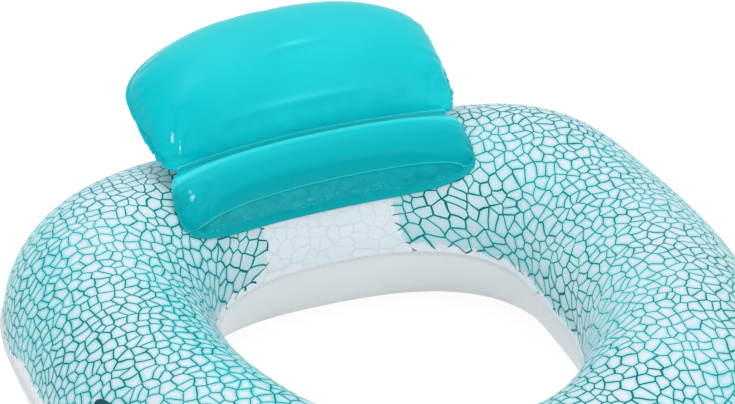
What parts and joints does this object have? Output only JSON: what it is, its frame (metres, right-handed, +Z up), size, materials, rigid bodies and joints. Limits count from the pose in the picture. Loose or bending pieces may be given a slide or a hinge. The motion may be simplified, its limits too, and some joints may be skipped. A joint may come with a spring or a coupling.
{
  "type": "inflatable pool chair",
  "caption": "Floating pool chair: inflated ring with an open seat, a two-chamber backrest that folds forward at its welded crease, grab handles on the arms and inflation valves.",
  "frame": {"origin": "on the ground, under the middle of the chair's length and width", "axes": "+X to the sitter's left, +Y towards the backrest, +Z up"},
  "size_m": [1.06, 1.0282, 0.4408],
  "materials": {
    "printed_vinyl": "glossy soft vinyl sheet printed with an irregular teal water net",
    "white_vinyl": "glossy plain white soft vinyl sheet",
    "teal_vinyl": "glossy, slightly translucent teal soft vinyl sheet",
    "dark_teal_vinyl": "smooth thick dark teal soft vinyl",
    "clear_vinyl": "smooth clear soft vinyl, slightly milky"
  },
  "bodies": {
    "ring": {"ring_top_sheet": "printed_vinyl", "ring_bottom_sheet": "white_vinyl", "backrest_attachment_strip": "clear_vinyl", "backrest_lower_front_sheet": "teal_vinyl", "backrest_lower_back_sheet": "teal_vinyl", "left_handle_grip": "dark_teal_vinyl", "left_handle_front_patch": "dark_teal_vinyl", "left_handle_rear_patch": "dark_teal_vinyl", "right_handle_grip": "dark_teal_vinyl", "right_handle_front_patch": "dark_teal_vinyl", "right_handle_rear_patch": "dark_teal_vinyl", "ring_valve_collar": "clear_vinyl"},
    "backrest": {"backrest_upper_front_sheet": "teal_vinyl", "backrest_upper_back_sheet": "teal_vinyl", "backrest_valve_collar": "clear_vinyl"},
    "ring_stem": {"ring_valve_stem": "clear_vinyl"},
    "ring_plug": {"ring_valve_plug": "clear_vinyl", "ring_valve_tether": "clear_vinyl"},
    "ring_flap": {"ring_valve_flap": "clear_vinyl"},
    "backrest_stem": {"backrest_valve_stem": "clear_vinyl"},
    "backrest_plug": {"backrest_valve_plug": "clear_vinyl", "backrest_valve_tether": "clear_vinyl"},
    "backrest_flap": {"backrest_valve_flap": "clear_vinyl"}
  },
  "joints": [
    {"name": "backrest_fold", "type": "hinge", "parent": "ring", "child": "backrest", "pos_m": [0, 0.32844, 0.30423], "axis": [1, 0, 0], "range_deg": [0, 42]},
    {"name": "ring_stem_push", "type": "slide", "parent": "ring", "child": "ring_stem", "axis": [-0.0589, -0.9409, -0.3336], "range_m": [0, 0.008]},
    {"name": "ring_plug_pull", "type": "slide", "parent": "ring_stem", "child": "ring_plug", "axis": [0.0589, 0.9409, 0.3336], "range_m": [0, 0.006]},
    {"name": "ring_flap_open", "type": "hinge", "parent": "ring_stem", "child": "ring_flap", "pos_m": [0.1559, 0.47601, 0.17991], "axis": [-0.0543, -0.3307, 0.9422], "range_deg": [0, 40], "stiffness_Nm_per_rad": 0.00005, "springref_deg": -11.46},
    {"name": "backrest_stem_push", "type": "slide", "parent": "backrest", "child": "backrest_stem", "axis": [-0.0594, -0.7225, 0.6888], "range_m": [0, 0.008]},
    {"name": "backrest_plug_pull", "type": "slide", "parent": "backrest_stem", "child": "backrest_plug", "axis": [0.0594, 0.7225, -0.6888], "range_m": [0, 0.006]},
    {"name": "backrest_flap_open", "type": "hinge", "parent": "backrest_stem", "child": "backrest_flap", "pos_m": [0.10437, 0.46358, 0.3476], "axis": [-0.091, -0.6833, -0.7245], "range_deg": [0, 40], "stiffness_Nm_per_rad": 0.00005, "springref_deg": -11.46}
  ]
}
